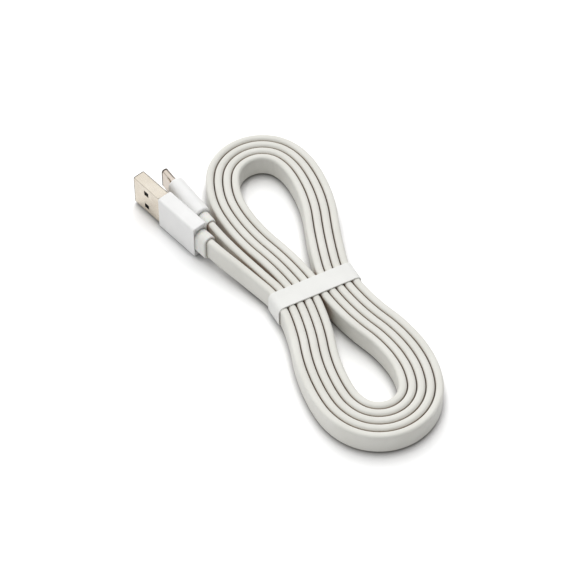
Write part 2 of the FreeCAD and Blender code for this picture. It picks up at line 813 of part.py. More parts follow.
def lobe_route(lobe):
    """The innermost turn of a lobe, from its left leg at the waist to its right leg."""
    way = lobe["way"]
    inner = innermost(way)
    out = Vector(0, way, 0)
    left_swing, right_swing = (math.radians(angle) for angle in lobe["swing"])
    leg_in = Vector(strand_x(inner), way * WAIST_HALF, 0)
    leg_out = Vector(strand_x(inner + 1), way * WAIST_HALF, 0)
    left_end = leg_in + Vector(
        -PINCH_RADIUS * (1 - math.cos(left_swing)), way * PINCH_RADIUS * math.sin(left_swing), 0
    )
    right_end = leg_out + Vector(
        PINCH_RADIUS * (1 - math.cos(right_swing)), way * PINCH_RADIUS * math.sin(right_swing), 0
    )
    left_heading = Vector(-math.sin(left_swing), way * math.cos(left_swing), 0)
    right_heading = Vector(-math.sin(right_swing), -way * math.cos(right_swing), 0)
    stations = [
        (left_end, left_heading),
        (Vector(*lobe["left"], 0), out),
        (Vector(*lobe["far"], 0), Vector(1, 0, 0)),
        (Vector(*lobe["right"], 0), -out),
        (right_end, right_heading),
    ]
    route = [Arc(leg_in, out, left_end)]
    for (start, heading), (end, last_heading), ratio in zip(stations, stations[1:], lobe["ratios"]):
        route += biarc(start, heading, end, last_heading, ratio)
    route.append(Arc(right_end, right_heading, leg_out))
    return route


def hank_path():
    """Every stretch of the hank in order, each as (stretch, offset to its left, travelled backwards)."""
    upper, lower = lobe_route(UPPER_LOBE), lobe_route(LOWER_LOBE)
    pitch = size("strand_pitch")
    path = []

    def waist(strand, begin, end):
        x = strand_x(strand)
        start, stop = Vector(x, begin, 0), Vector(x, end, 0)
        path.append((Arc(start, (stop - start).normalize(), stop), 0.0, False))

    def lobe(route, way, strand):
        """Goes round one lobe from this strand and returns the strand that it comes out on."""
        inner = innermost(way)
        other = 2 * inner + 1 - strand
        offset = way * (inner - min(strand, other)) * pitch
        backwards = strand > other
        for stretch in reversed(route) if backwards else route:
            path.append((stretch, offset, backwards))
        return other

    strand = 1
    waist(strand, HANK_END, -WAIST_HALF)
    while True:
        strand = lobe(lower, -1, strand)
        if strand == 2:
            waist(strand, -WAIST_HALF, HANK_END)
            return path
        waist(strand, -WAIST_HALF, WAIST_HALF)
        strand = lobe(upper, 1, strand)
        waist(strand, WAIST_HALF, -WAIST_HALF)


def flat_section(point, heading):
    """The cable's section as a wire, its width upright, square to the heading at the point."""
    half_thick, half_width = size("cable_thickness") / 2, size("cable_width") / 2
    edge = size("cable_edge")
    corners = [
        Vector(half_thick, -half_width, 0),
        Vector(half_thick, half_width, 0),
        Vector(-half_thick, half_width, 0),
        Vector(-half_thick, -half_width, 0),
    ]
    edges = []
    for index, corner in enumerate(corners):
        after = corners[(index + 1) % 4]
        into = (corner - corners[index - 1]).normalize()
        out = (after - corner).normalize()
        middle = corner + (out - into).normalize() * (edge * (math.sqrt(2) - 1))
        edges.append(Part.Arc(corner - into * edge, middle, corner + out * edge).toShape())
        edges.append(Part.makeLine(corner + out * edge, after - out * edge))
    wire = Part.Wire(edges)
    side = Vector(0, 0, 1).cross(heading)
    rotation = FreeCAD.Rotation(side.normalize(), Vector(0, 0, 1), heading, "ZYX")
    wire.Placement = FreeCAD.Placement(point, rotation)
    return wire


def sweep(label, edges, section, upright=False):
    """A closed tube of the section along the edges."""
    pipe = Part.BRepOffsetAPI.MakePipeShell(Part.Wire(edges))
    if upright:
        pipe.setBiNormalMode(Vector(0, 0, 1))
    pipe.add(section)
    pipe.build()
    if not pipe.isReady() or not pipe.makeSolid():
        fail(f"{label} could not be swept")
    shape = pipe.shape()
    solid = shape.Solids[0]
    if solid.Volume < 0:
        solid.reverse()
    return solid


def section_area():
    width, thick, edge = size("cable_width"), size("cable_thickness"), size("cable_edge")
    return width * thick - (4 - math.pi) * edge**2


def least_gap(points):
    """The least clear space between two stretches of the hank that aren't one after the other."""
    near = 1.5 * size("strand_pitch")
    apart = int(6 * near / SAMPLE_STEP)
    least = math.inf
    cells = {}
    for index, point in enumerate(points):
        key = (int(point.x // near), int(point.y // near))
        cells.setdefault(key, []).append(index)
    for index, point in enumerate(points):
        column, row = int(point.x // near), int(point.y // near)
        for i in (-1, 0, 1):
            for j in (-1, 0, 1):
                for other in cells.get((column + i, row + j), ()):
                    if other - index > apart:
                        least = min(least, point.distanceToPoint(points[other]))
    return least - size("cable_thickness")


def hank_middle():
    """The height of the middle of the hank's strands, which lie on the band's lower wall."""
    return size("tie_wall") + size("tie_gap") + size("cable_width") / 2


def make_hank():
    label = "cable_hank"
    path = hank_path()
    edges, points, radii = [], [], []
    length = 0.0
    for stretch, offset, backwards in path:
        edge = stretch.edge(offset)
        length += edge.Length
        count = max(2, int(edge.Length / SAMPLE_STEP))
        shares = [k / count for k in range(count)]
        for share in reversed(shares) if backwards else shares:
            point, left = stretch.at(share)
            points.append(point + left * offset)
        if stretch.radius:
            radii.append(abs(abs(stretch.radius) - offset * math.copysign(1, stretch.radius)))
        edges.append(edge)
    lift = Vector(0, 0, hank_middle())
    for edge in edges:
        edge.translate(lift)
    start = Vector(strand_x(1), HANK_END, 0) + lift
    solid = sweep(label, edges, flat_section(start, Vector(0, -1, 0)))
    gap = least_gap(points)
    print(f"{label}: {length:.1f} mm, tightest radius {min(radii):.1f}, least gap to itself {gap:.3f}")
    print(f"{label}: volume {solid.Volume:.1f}, section times length {section_area() * length:.1f}")
    if gap <= LEAST_GAP_ALLOWED:
        fail(f"{label} lies {gap:.3f} mm from itself")
    return keep(label, solid_feature(label, solid)), length


# The free stretches.


def rounded_route(label, points):
    """Straight runs joined by tangent arcs, each as large as its two runs allow."""
    edges, radii = [], []
    last = points[0]
    for before, corner, after in zip(points, points[1:], points[2:]):
        run_in, run_out = corner - before, after - corner
        short = min(run_in.Length, run_out.Length)
        turn = run_in.getAngle(run_out)
        cut = BEND_SHARE * short
        radii.append(cut / math.tan(turn / 2))
        into, out = run_in.normalize(), run_out.normalize()
        first, final = corner - into * cut, corner + out * cut
        bisector = (out - into).normalize()
        depth = radii[-1] * (1 / math.cos(turn / 2) - 1)
        edges.append(Part.makeLine(last, first))
        edges.append(Part.Arc(first, corner + bisector * depth, final).toShape())
        last = final
    edges.append(Part.makeLine(last, points[-1]))
    length = sum(edge.Length for edge in edges)
    print(f"{label}: {length:.1f} mm, radii " + ", ".join(f"{radius:.0f}" for radius in radii))
    return edges, length


def make_tail(label, place, relief_length, route, strand):
    start, heading = exit_of(place, relief_length)
    middle = hank_middle()
    points = [start]
    points += [Vector(x, y, middle + rise) for x, y, rise in route]
    points.append(Vector(strand_x(strand), HANK_END, middle))
    edges, length = rounded_route(label, points)
    along = (points[1] - points[0]).normalize()
    solid = sweep(label, edges, flat_section(start, along), upright=True)
    print(f"{label}: volume {solid.Volume:.1f}, section times length {section_area() * length:.1f}")
    return keep(label, solid_feature(label, solid)), length


def make_tie():
    """A closed band round all ten strands."""
    label = "tie_band"
    body = new_body(label)
    span = (STRANDS - 1) * size("strand_pitch")
    inner_across = f"{span} + $cable_thickness + 2 * $tie_side_gap"
    inner_tall = "$cable_width + 2 * $tie_gap"
    outline = new_sketch(body, label + "_outline", "XZ_Plane", "-$tie_width / 2")
    arcs = rounded_outline(
        outline, f"{inner_across} + 2 * $tie_wall", f"{inner_tall} + 2 * $tie_wall", "$tie_corner"
    )
    centred(outline, arcs)
    pad(body, outline, "$tie_width")
    bore = new_sketch(body, label + "_bore", "XZ_Plane", "-$tie_width / 2")
    arcs = rounded_outline(bore, inner_across, inner_tall, "$tie_corner - $tie_wall")
    centred(bore, arcs)
    pocket(body, bore, "$tie_width")
    body.Placement = FreeCAD.Placement(Vector(0, 0, hank_middle()), FreeCAD.Rotation())
    return keep(label, body)


def check_document():
    for thing in DOCUMENT.Objects:
        if "Invalid" in thing.State or "Error" in thing.State:
            fail(f"{thing.Label} did not compute: {thing.State}")


def check_pieces():
    for label, thing in NODES.items():
        shape = thing.Shape
        if shape.isNull() or not shape.isValid() or not shape.Solids:
            fail(f"{label} is not a valid solid")
        if shape.Volume <= 0:
            fail(f"{label} has no volume")
        lowest = shape.optimalBoundingBox(False, False).ZMin
        if lowest < -1e-3:
            fail(f"{label} reaches {lowest:.3f} below the floor")


def write_pieces():
    os.makedirs("parts", exist_ok=True)
    for label, thing in NODES.items():
        thing.Shape.exportStep(os.path.join("parts", label + ".step"))


make_plug_a()
make_plug_c()
make_tie()
_, HANK_LENGTH = make_hank()
_, TAIL_A_LENGTH = make_tail("cable_tail_a", A_PLACE, size("a_relief_length"), TAIL_A_POINTS, 1)
_, TAIL_C_LENGTH = make_tail("cable_tail_c", C_PLACE, size("c_relief_length"), TAIL_C_POINTS, 2)
DOCUMENT.recompute()
check_document()
check_pieces()
write_pieces()
TOTAL_LENGTH = HANK_LENGTH + TAIL_A_LENGTH + TAIL_C_LENGTH
print(f"cable between its strain reliefs: {TOTAL_LENGTH:.0f} mm, {len(NODES)} pieces")
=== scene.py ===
"""The looks of a white charging cable, wound on edge into a hank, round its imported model."""

import json
import math

import bmesh
import bpy
from mathutils import Matrix, Vector


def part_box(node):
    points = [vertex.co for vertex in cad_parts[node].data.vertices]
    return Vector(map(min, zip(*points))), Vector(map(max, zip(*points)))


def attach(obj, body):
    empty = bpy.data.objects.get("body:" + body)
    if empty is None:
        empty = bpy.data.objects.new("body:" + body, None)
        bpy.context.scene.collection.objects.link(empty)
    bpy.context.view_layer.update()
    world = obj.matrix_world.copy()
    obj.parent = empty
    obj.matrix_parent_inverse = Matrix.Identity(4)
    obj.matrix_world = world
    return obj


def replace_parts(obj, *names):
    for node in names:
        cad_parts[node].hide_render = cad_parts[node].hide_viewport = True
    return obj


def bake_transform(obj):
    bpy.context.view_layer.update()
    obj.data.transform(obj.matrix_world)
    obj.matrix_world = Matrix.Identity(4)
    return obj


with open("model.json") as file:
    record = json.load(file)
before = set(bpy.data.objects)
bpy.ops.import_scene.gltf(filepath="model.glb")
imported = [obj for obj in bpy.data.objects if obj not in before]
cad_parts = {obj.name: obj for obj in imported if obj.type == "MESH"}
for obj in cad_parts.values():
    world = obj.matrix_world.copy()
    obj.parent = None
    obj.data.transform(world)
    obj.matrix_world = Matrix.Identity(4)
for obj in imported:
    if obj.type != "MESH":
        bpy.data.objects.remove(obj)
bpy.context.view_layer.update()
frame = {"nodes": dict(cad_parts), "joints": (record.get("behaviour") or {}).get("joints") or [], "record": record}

MM = 0.001
UP = Vector((0, 0, 1))

# The flat cable, in millimetres.
CABLE_WIDTH = 8.0
CABLE_THICKNESS = 2.52
CABLE_EDGE = 1.0
STRAND_PITCH = 2.82
STRANDS = 10
# The waist is lifted by the band's lower wall, and the lobes come down towards the surface.
HANK_MIDDLE = 4.5
SAG = 0.2
SAG_FROM, SAG_TO = 6.0, 24.0
# How deep the cable goes into a strain relief, and where the three cords meet under the band.
SUNK = 1.4
MEETING = -1.0

# A lobe's legs run straight this far from the middle of the waist, then swing out on this radius.
WAIST_HALF = 1.5
PINCH_RADIUS = 20.0
# Each lobe's innermost turn: where it passes at its left, its far end and its right, the ratios of
# the arcs between them, and how many degrees its left and right legs swing out.
UPPER_LOBE = {
    "way": 1,
    "left": (-4.4, 39.8),
    "far": (7.1, 57.6),
    "right": (15.6, 46.1),
    "ratios": (0.84, 0.77, 0.61, 1.04),
    "swing": (4.4, 16.0),
}
LOWER_LOBE = {
    "way": -1,
    "left": (-8.9, -40.4),
    "far": (-1.0, -50.1),
    "right": (7.8, -36.7),
    "ratios": (1.0, 1.74, 0.86, 1.56),
    "swing": (6.4, 2.9),
}
# The largest turn and the longest stretch between two control points of a turn.
TURN_STEP = math.radians(11)
LONG_STEP = 9.0

# The free stretches, as points of (x, y, height above the hank's middle).
TAIL_A_POINTS = ((-20.24, 25.58, 2.1), (-17.2, 18.2, 0.9), (-14.4, 9.9, 0.2), (-12.69, 4.3, 0.0))
TAIL_C_POINTS = (
    (-16.94, 32.32, 1.15),
    (-15.2, 24.9, 0.5),
    (-13.1, 17.0, 0.1),
    (-11.35, 10.0, 0.0),
    (-9.87, 4.4, 0.0),
)

# The plugs, in millimetres: thickness, upright width, and length towards the tip. A shell starts
# "buried" deep in its case and is open "depth" deep from its tip, and the cut edge's entry is how far
# back from the tip its bare edge reaches; that edge is coloured far darker than bare steel, as a painted
# dark reflection round the tip.
A = {
    "case": (5.5, 13.2, 17.6),
    "case_corner": 0.75,
    "case_edge": 0.3,
    "shell": (4.5, 12.0, 12.9),
    "shell_corner": 0.75,
    "shell_wall": 0.3,
    "shell_lip": 0.28,
    "buried": 2.5,
    "depth": 14.0,
    "cut_edge_painted_dark": 0.4,
    "hole": (2.1, 2.2),
    "hole_spacing": 6.0,
    "hole_setback": 5.2,
    "hole_corner": 0.15,
    "relief": (4.7, 9.7, 4.6),
}
C = {
    "case": (5.9, 11.3, 16.5),
    "case_corner": 2.9,
    "case_edge": 0.8,
    "shell": (2.4, 8.25, 6.4),
    "shell_corner": 1.19,
    "shell_wall": 0.2,
    "shell_lip": 0.19,
    "buried": 1.5,
    "depth": 5.9,
    "cut_edge_painted_dark": 0.7,
    "relief": (4.0, 9.3, 4.6),
}
# How deep a case's two mouths are modelled, how far a strain relief reaches into its case, how
# deep its bore is modelled, and the gaps that show as fine seams.
MOUTH_DEPTH = 0.9
RELIEF_INSIDE = 1.1
BORE_DEPTH = 0.9
CASE_SEAM = 0.04
BORE_SEAM = 0.08
RELIEF_LIP = 0.4

# The band's wall, the rounding of its four corners and that of its two rims.
BAND_WALL = 0.47
BAND_CORNER = 2.2
BAND_RIM = 0.22

# How open a place on the cable is, from 0 to 1, where its painted gap shade is full and where it ends,
# how near another surface counts, and how much of the painted shade's colour the deepest place takes.
GAP_FULL, GAP_NONE = 0.05, 0.48
GAP_REACH = 3.5
GAP_SHARE = 0.9

# The inner pieces' second shade, as a share of their first, and the scale of their noise.
INNER_DARKER = 0.82
INNER_NOISE = 1500

# How far the floor lies below the object, against faces that share a plane, and its size.
FLOOR_BELOW = 0.05
FLOOR_SIZE = 6000.0
# The floor's shade as light bounces off it, and as the camera sees it.
FLOOR_SHADE = 0.86
FLOOR_SEEN = 1.15
# How near a piece paints a contact shadow on the floor under and beside it, how much of the floor's
# brightness that painted shadow leaves there, and how open the floor is where it is full and where it ends.
CONTACT_REACH = 3.5
CONTACT_LEFT = 0.2
CONTACT_FULL, CONTACT_NONE = 0.1, 0.85

# Light comes from all round, more of it from one side, and from a broad lamp overhead.
WORLD_LIGHT = 0.58
WORLD_SLANT = 0.85
BRIGHT_SIDE = Vector((-0.6, 0.8, 0.0))
SUN_LIGHT = 1.68
SUN_SPREAD = 50
SUN_FROM = Vector((0.3, 0.42, 1.0))
# What metal and gloss mirror: pale above, and a band round the horizon that is darkest beyond the
# object and palest before it. The band ends between two heights, and changes between two shares of
# the way towards its dark side.
HORIZON_LOW, HORIZON_HIGH = 0.2, 0.75
HORIZON_DARK, HORIZON_PALE = 0.02, 0.62
DARK_SIDE = Vector((0.75, 0.66, 0.0))
DARK_FROM, DARK_TO = -0.2, 0.4
SKY_MIRRORED = 1.0

# The camera that matches the photograph, its places in millimetres.
CAMERA_AT = Vector((-236.8, -432.4, 619.6))
CAMERA_AIM = Vector((-4.48, 8.29, 0))
CAMERA_LENS = 155.2


# Meshes.


def ring(thick, wide, corner, z, steps=7):
    """A rounded rectangle at height z, thick in x and wide in y, as points in millimetres."""
    corner = min(corner, thick / 2 - 1e-4, wide / 2 - 1e-4)
    points = []
    for quarter, (sx, sy) in enumerate(((1, 1), (-1, 1), (-1, -1), (1, -1))):
        cx, cy = sx * (thick / 2 - corner), sy * (wide / 2 - corner)
        for step in range(steps + 1):
            turn = math.pi / 2 * (quarter + step / steps)
            points.append(Vector((cx + corner * math.cos(turn), cy + corner * math.sin(turn), z)))
    return points


def loft(name, rings, place=None, capped=True):
    """A closed skin through rings of as many points each, in millimetres, put where place says."""
    mesh = bpy.data.meshes.new(name)
    skin = bmesh.new()
    rows = []
    for points in rings:
        rows.append([skin.verts.new((place @ p if place else p) * MM) for p in points])
    for low, high in zip(rows, rows[1:]):
        for index in range(len(low)):
            after = (index + 1) % len(low)
            skin.faces.new((low[index], low[after], high[after], high[index]))
    if capped:
        skin.faces.new(reversed(rows[0]))
        skin.faces.new(rows[-1])
    bmesh.ops.recalc_face_normals(skin, faces=skin.faces)
    for face in skin.faces:
        face.smooth = True
    skin.to_mesh(mesh)
    skin.free()
    piece = bpy.data.objects.new(name, mesh)
    bpy.context.collection.objects.link(piece)
    return piece


def even_normals(piece):
    """Lets large flat faces set the shading beside small rounded ones."""
    modifier = piece.modifiers.new("even_normals", "WEIGHTED_NORMAL")
    modifier.weight = 90
    return piece


def cut(piece, cutters):
    """Takes the cutters out of the piece for good."""
    for cutter in cutters:
        modifier = piece.modifiers.new("cut", "BOOLEAN")
        modifier.object = cutter
        modifier.solver = "EXACT"
    depsgraph = bpy.context.evaluated_depsgraph_get()
    mesh = bpy.data.meshes.new_from_object(piece.evaluated_get(depsgraph))
    piece.modifiers.clear()
    piece.data = mesh
    for cutter in cutters:
        bpy.data.objects.remove(cutter, do_unlink=True)
    return piece


def rounding(radius, steps=5):
    """(inset, distance from the end) pairs round an edge, from the end face to the side."""
    pairs = []
    for step in range(steps + 1):
        turn = math.pi / 2 * step / steps
        pairs.append((radius * (1 - math.sin(turn)), radius * (1 - math.cos(turn))))
    return pairs


# Materials. Every colour is linear.


def from_screen(red, green, blue):
    """A linear colour from screen values of 0 to 255."""
    def linear(value):
        value /= 255
        return value / 12.92 if value <= 0.04045 else ((value + 0.055) / 1.055) ** 2.4
    return linear(red), linear(green), linear(blue), 1.0


class Finish:
    """A node material, built up from the shader backwards."""

    def __init__(self, name, **values):
        self.material = bpy.data.materials.new(name)
        self.material.use_nodes = True
        self.tree = self.material.node_tree
        self.shader = self.tree.nodes["Principled BSDF"]
        for socket, value in values.items():
            self.shader.inputs[socket.replace("_", " ")].default_value = value
        self.place = self.tree.nodes.new("ShaderNodeTexCoord").outputs["Object"]

    def node(self, kind, **inputs):
        made = self.tree.nodes.new("ShaderNode" + kind)
        for socket, value in inputs.items():
            target = made.inputs[socket.replace("_", " ")]
            if isinstance(value, bpy.types.NodeSocket):
                self.tree.links.new(value, target)
            else:
                target.default_value = value
        return made

    def noise(self, scale, stretch=(1, 1, 1), detail=4.0, turn=0.0):
        """Noise whose grains are 1/scale metres across, drawn out by stretch after a turn about z."""
        mapping = self.node("Mapping", Vector=self.place, Rotation=(0, 0, turn), Scale=stretch)
        made = self.node("TexNoise", Vector=mapping.outputs[0], Scale=scale, Detail=detail)
        return made.outputs["Fac"]

    def spread(self, source, low, high):
        """Maps noise, which stays near a half, to low and high."""
        made = self.node("MapRange", Value=source, **{"From_Min": 0.3, "From_Max": 0.7})
        made.inputs["To Min"].default_value = low
        made.inputs["To Max"].default_value = high
        return made.outputs[0]

    def colours(self, source, first, second):
        """Two colours mixed by a value."""
        made = self.tree.nodes.new("ShaderNodeMix")
        made.data_type = "RGBA"
        self.tree.links.new(source, made.inputs["Factor"])
        ends = [socket for socket in made.inputs if socket.type == "RGBA"]
        ends[0].default_value, ends[1].default_value = first, second
        result = [s for s in made.outputs if s.type == "RGBA"][0]
        self.tree.links.new(result, self.shader.inputs["Base Color"])
        return self

    def paint_gap_shade(self, colour):
        """Paints shade into deep, narrow gaps, darkening their colour towards the given one as painted shade."""
        base = self.shader.inputs["Base Color"].links[0].from_socket
        closeness = self.node("AmbientOcclusion", Distance=GAP_REACH * MM)
        closeness.samples = 8
        depth = self.node("MapRange", Value=closeness.outputs["AO"])
        depth.inputs["From Min"].default_value = GAP_FULL
        depth.inputs["From Max"].default_value = GAP_NONE
        depth.inputs["To Min"].default_value = GAP_SHARE
        depth.inputs["To Max"].default_value = 0.0
        mixed = self.tree.nodes.new("ShaderNodeMixRGB")
        mixed.inputs["Color2"].default_value = colour
        self.tree.links.new(depth.outputs[0], mixed.inputs["Fac"])
        self.tree.links.new(base, mixed.inputs["Color1"])
        self.tree.links.new(mixed.outputs[0], self.shader.inputs["Base Color"])
        return self

    def roughness(self, source):
        self.tree.links.new(source, self.shader.inputs["Roughness"])
        return self

    def bump(self, source, depth):
        """Relief of the given depth in millimetres."""
        made = self.node("Bump", Height=source, Strength=1.0, Distance=depth * MM)
        self.tree.links.new(made.outputs[0], self.shader.inputs["Normal"])
        return self


def jacket():
    """Soft matt-satin elastomer, a warm pale grey with faint cloudiness and a fine grain."""
    made = Finish("cable_jacket", Roughness=0.5, Sheen_Weight=0.08, Sheen_Roughness=0.5)
    cloud = made.noise(90, detail=3)
    made.colours(made.spread(cloud, 0, 1), from_screen(223, 222, 215), from_screen(230, 229, 223))
    # Painted shade: the deep gaps between strands are darkened towards a warm brown.
    made.paint_gap_shade(from_screen(150, 112, 76))
    made.roughness(made.spread(made.noise(700), 0.42, 0.56))
    return made.bump(made.noise(4200, detail=5), 0.012).material


def case_plastic(name, warm):
    """Hard white plastic with a fine moulded satin."""
    made = Finish(name, Roughness=0.34, Coat_Weight=0.12, Coat_Roughness=0.25)
    made.shader.inputs["Subsurface Weight"].default_value = 0.08
    made.shader.inputs["Subsurface Radius"].default_value = (1.0, 1.0, 1.0)
    made.shader.inputs["Subsurface Scale"].default_value = 0.4 * MM
    cloud = made.noise(140, detail=2)
    low, high = (239, 239, 239 - warm), (244, 244, 244 - warm)
    made.colours(made.spread(cloud, 0, 1), from_screen(*low), from_screen(*high))
    made.roughness(made.spread(made.noise(1100), 0.3, 0.4))
    return made.bump(made.noise(6500, detail=3), 0.006).material


def relief_rubber():
    """The strain relief's softer plastic, a little warmer and more matt than the case."""
    made = Finish("strain_relief", Roughness=0.5)
    made.shader.inputs["Subsurface Weight"].default_value = 0.1
    made.shader.inputs["Subsurface Scale"].default_value = 0.5 * MM
    cloud = made.noise(160, detail=3)
    made.colours(made.spread(cloud, 0, 1), from_screen(230, 230, 225), from_screen(236, 236, 232))
    made.roughness(made.spread(made.noise(900), 0.42, 0.55))
    return made.bump(made.noise(5200, detail=4), 0.01).material


def band_film():
    """The band's matt film, with a faint lengthwise drawing."""
    made = Finish("band", Roughness=0.55)
    cloud = made.noise(120, detail=3)
    made.colours(made.spread(cloud, 0, 1), from_screen(233, 233, 230), from_screen(239, 239, 236))
    made.roughness(made.spread(made.noise(800), 0.48, 0.62))
    return made.bump(made.noise(2400, stretch=(0.25, 1, 1)), 0.008).material


def nickel(name, turn, colour, deep, polish):
    """Nickel plate with fine lines of drawing along the shell: a small polish value mirrors more."""
    made = Finish(name, Metallic=1.0, Roughness=0.24)
    lines = made.noise(2600, stretch=(1, 0.06, 1), detail=6, turn=turn)
    stain = made.noise(220, detail=4)
    made.colours(made.spread(stain, 0, 1), colour, deep)
    made.roughness(made.spread(lines, polish, 2 * polish))
    return made.bump(lines, 0.0035).material


def cut_edge_painted_dark():
    """The shells' bare cut edge, duller than their plate, and darkened well past that by a painted dark
    reflection.
    """
    made = Finish("shell_lip_painted_dark", Metallic=1.0, Roughness=0.4)
    # Painted dark reflection: these colours are far darker than bare steel would be.
    made.colours(made.spread(made.noise(900), 0, 1), from_screen(84, 77, 70), from_screen(106, 98, 90))
    made.roughness(made.spread(made.noise(2600), 0.34, 0.46))
    return made.bump(made.noise(5200), 0.003).material


def plain(name, colour, roughness=0.5, metallic=0.0, grain=0.004, gloss=0.5):
    """A small inner part: its colour with slight variation, and a fine grain."""
    made = Finish(name, Roughness=roughness, Metallic=metallic, Specular_IOR_Level=gloss)
    darker = tuple(INNER_DARKER * value for value in colour[:3]) + (1.0,)
    made.colours(made.spread(made.noise(INNER_NOISE / 4), 0, 1), darker, colour)
    made.roughness(made.spread(made.noise(INNER_NOISE), 0.85 * roughness, 1.15 * roughness))
    return made.bump(made.noise(INNER_NOISE * 2), grain).material


def finish(piece, material):
    """Gives the piece its material, in place of any it has."""
    piece.data.materials.clear()
    piece.data.materials.append(material)
    return piece


# The cable.


class Arc:
    """An arc, from a point along a heading to a point, all flat."""

    def __init__(self, start, heading, end):
        chord = end - start
        left = Vector((-heading.y, heading.x))
        half = math.atan2(chord.dot(left), chord.dot(heading))
        self.start = start
        self.turn = 2 * half
        self.radius = chord.length / (2 * math.sin(half))
        self.centre = start + left * self.radius

    def corners(self, offset):
        """Where the tangents of this arc's steps meet, on the arc that lies offset to its left."""
        length = abs(self.turn * (self.radius - offset))
        steps = max(1, math.ceil(max(abs(self.turn) / TURN_STEP, length / LONG_STEP)))
        each = self.turn / steps
        reach = (self.radius - offset) / math.cos(each / 2)
        toward = (self.start - self.centre) / self.radius
        corners = []
        for step in range(steps):
            spin = Matrix.Rotation(each * (step + 0.5), 2)
            corners.append(self.centre + spin @ toward * reach)
        return corners


def biarc(start, heading, end, last_heading, ratio):
    """Two arcs that leave start along heading and reach end along last_heading."""
    chord = end - start
    blend = chord.dot(heading + last_heading * ratio)
    first = ratio * (1 - heading.dot(last_heading))
    root = math.sqrt(blend**2 + 2 * first * chord.length_squared)
    reach = (root - blend) / (2 * first)
    near, far = start + heading * reach, end - last_heading * (reach * ratio)
    joint = near + (far - near) / (1 + ratio)
    return [Arc(start, heading, joint), Arc(joint, (far - near).normalized(), end)]


def strand_x(number):
    """Where a strand, counted from 1 at the left, crosses the waist."""
    return (number - (STRANDS + 1) / 2) * STRAND_PITCH


def innermost(lobe):
    """The number of the lobe's innermost strand on the left."""
    return STRANDS // 2 if lobe["way"] < 0 else STRANDS // 2 + 1


def lobe_arcs(lobe):
    """The innermost turn of a lobe, from its left leg at the waist to its right leg."""
    way, inner = lobe["way"], innermost(lobe)
    out = Vector((0, way))
    legs = [Vector((strand_x(inner + side), way * WAIST_HALF)) for side in (0, 1)]
    ends, headings = [], []
    for leg, side, angle in zip(legs, (-1, 1), lobe["swing"]):
        swing = math.radians(angle)
        sideways = side * PINCH_RADIUS * (1 - math.cos(swing))
        ends.append(leg + Vector((sideways, way * PINCH_RADIUS * math.sin(swing))))
        headings.append(Vector((-math.sin(swing), -side * way * math.cos(swing))))
    stations = [
        (ends[0], headings[0]),
        (Vector(lobe["left"]), out),
        (Vector(lobe["far"]), Vector((1, 0))),
        (Vector(lobe["right"]), -out),
        (ends[1], headings[1]),
    ]
    arcs = [Arc(legs[0], out, ends[0])]
    for (start, heading), (end, last_heading), ratio in zip(stations, stations[1:], lobe["ratios"]):
        arcs += biarc(start, heading, end, last_heading, ratio)
    arcs.append(Arc(ends[1], headings[1], legs[1]))
    return arcs


def lobe_turn(lobe, strand):
    """One turn round a lobe from this strand: its control points, and the strand it ends on."""
    inner = innermost(lobe)
    other = 2 * inner + 1 - strand
    offset = lobe["way"] * (inner - min(strand, other)) * STRAND_PITCH
    corners = []
    for arc in lobe_arcs(lobe):
        corners += arc.corners(offset)
    if strand > other:
        corners.reverse()
    return corners, other


def turns(strand, lobe, count):
    """Control points of some turns in a row, from this strand, the lobes taking their turns."""
    points = []
    for _ in range(count):
        corners, strand = lobe_turn(lobe, strand)
        points += corners
        lobe = LOWER_LOBE if lobe is UPPER_LOBE else UPPER_LOBE
    return points, strand


def resting(point):
    """The height of the hank's middle at a flat point, lower in the lobes than at the waist."""
    share = min(max((abs(point.y) - SAG_FROM) / (SAG_TO - SAG_FROM), 0), 1)
    return HANK_MIDDLE - SAG * share * share * (3 - 2 * share)


def laid(points):
    return [Vector((p.x, p.y, resting(p))) for p in points]


def joint_place(name):
    """A joint's point in millimetres."""
    joint = [j for j in frame["joints"] if j["name"] == name][0]
    return Vector(joint["pos_m"]) / MM


def mount(name):
    return [m for m in frame["record"]["mounts"] if m["name"] == name][0]


def tail(exit_point, axis, points):
    """A free stretch's control points, from inside its strain relief to the band."""
    route = [exit_point + axis * SUNK]
    return route + [Vector((x, y, HANK_MIDDLE + rise)) for x, y, rise in points]


def centre_line(name, points):
    """The points of the smooth line that these control points give, in metres."""
    curve = bpy.data.curves.new(name, "CURVE")
    curve.dimensions = "3D"
    spline = curve.splines.new("NURBS")
    spline.points.add(len(points) - 1)
    for target, point in zip(spline.points, points):
        target.co = (*(point * MM), 1.0)
    spline.order_u = 3
    spline.use_endpoint_u = True
    curve.resolution_u = 5
    holder = bpy.data.objects.new(name, curve)
    bpy.context.collection.objects.link(holder)
    depsgraph = bpy.context.evaluated_depsgraph_get()
    line = bpy.data.meshes.new_from_object(holder.evaluated_get(depsgraph))
    path = [vertex.co.copy() for vertex in line.vertices]
    bpy.data.objects.remove(holder, do_unlink=True)
    bpy.data.meshes.remove(line)
    return path


def flat_tube(name, path):
    """The flat cable along a path in metres, its width upright."""
    section = ring(CABLE_THICKNESS, CABLE_WIDTH, CABLE_EDGE, 0, steps=6)
    rings = []
    for index, point in enumerate(path):
        before, after = path[max(index - 1, 0)], path[min(index + 1, len(path) - 1)]
        heading = (after - before).normalized()
        side = UP.cross(heading).normalized()
        rise = heading.cross(side)
        rings.append([point / MM + side * p.x + rise * p.y for p in section])
    return loft(name, rings)


def make_cord(name, points, material, nodes):
    """One stretch of the cable, in place of its share of the hank and of its own nodes."""
    path = centre_line(name, points)
    cable = finish(flat_tube(name, path), material)
    even_normals(cable)
    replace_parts(cable, "cable_hank", *nodes)
    return cable


# The plugs.


def plug_frame(joint_name, mount_name, relief_length):
    """The plug's own frame, from the middle of its case's rear, and where its cable leaves it."""
    exit_point = joint_place(joint_name)
    axis = Vector(mount(mount_name)["axis"])
    side = UP.cross(axis)
    rotation = Matrix((side, UP, axis)).transposed()
    place = Matrix.Translation(exit_point + axis * relief_length) @ rotation.to_4x4()
    return place, exit_point, axis


